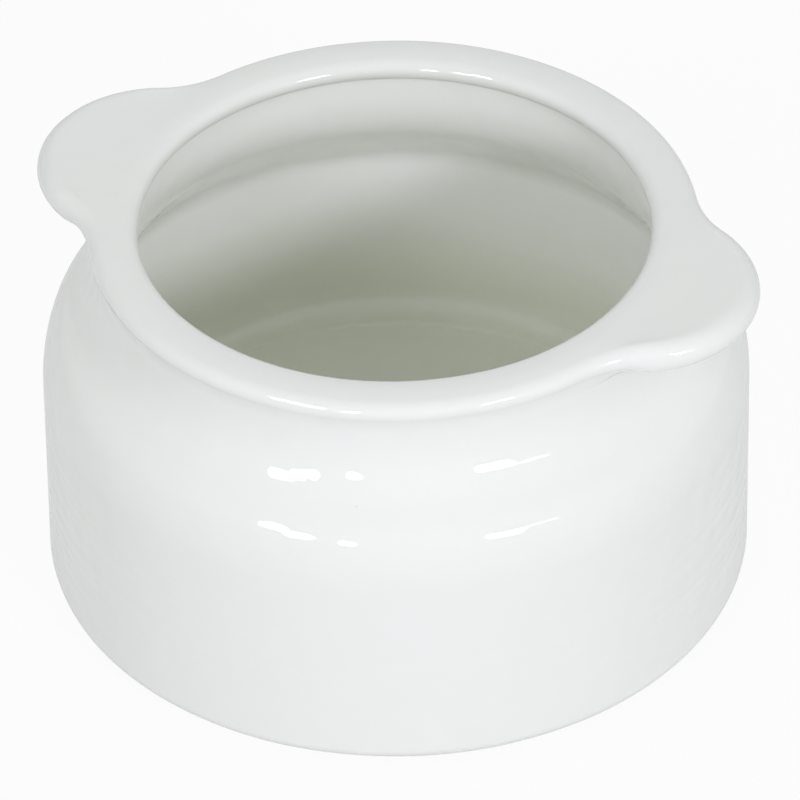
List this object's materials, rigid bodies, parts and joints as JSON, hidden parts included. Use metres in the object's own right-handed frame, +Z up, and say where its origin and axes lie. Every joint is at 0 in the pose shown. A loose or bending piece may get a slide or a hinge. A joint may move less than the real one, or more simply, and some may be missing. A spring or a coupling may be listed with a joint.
{
  "type": "french onion soup crock",
  "caption": "White glazed stoneware soup crock: round belly, narrowed neck, rolled lip and a pair of flat lug ears to lift it by, standing on an unglazed foot ring.",
  "frame": {"origin": "centre of the foot ring, on the surface that the crock stands on", "axes": "+X through the middles of the two ears, +Z up through the mouth"},
  "size_m": [0.1216, 0.114, 0.0665],
  "materials": {
    "white_glaze": "gloss glaze",
    "bare_stoneware": "bare fired clay"
  },
  "bodies": {
    "root": {"bowl_body": "white_glaze", "rolled_lip": "white_glaze", "left_ear": "white_glaze", "right_ear": "white_glaze", "foot_ring": "bare_stoneware"}
  },
  "joints": []
}
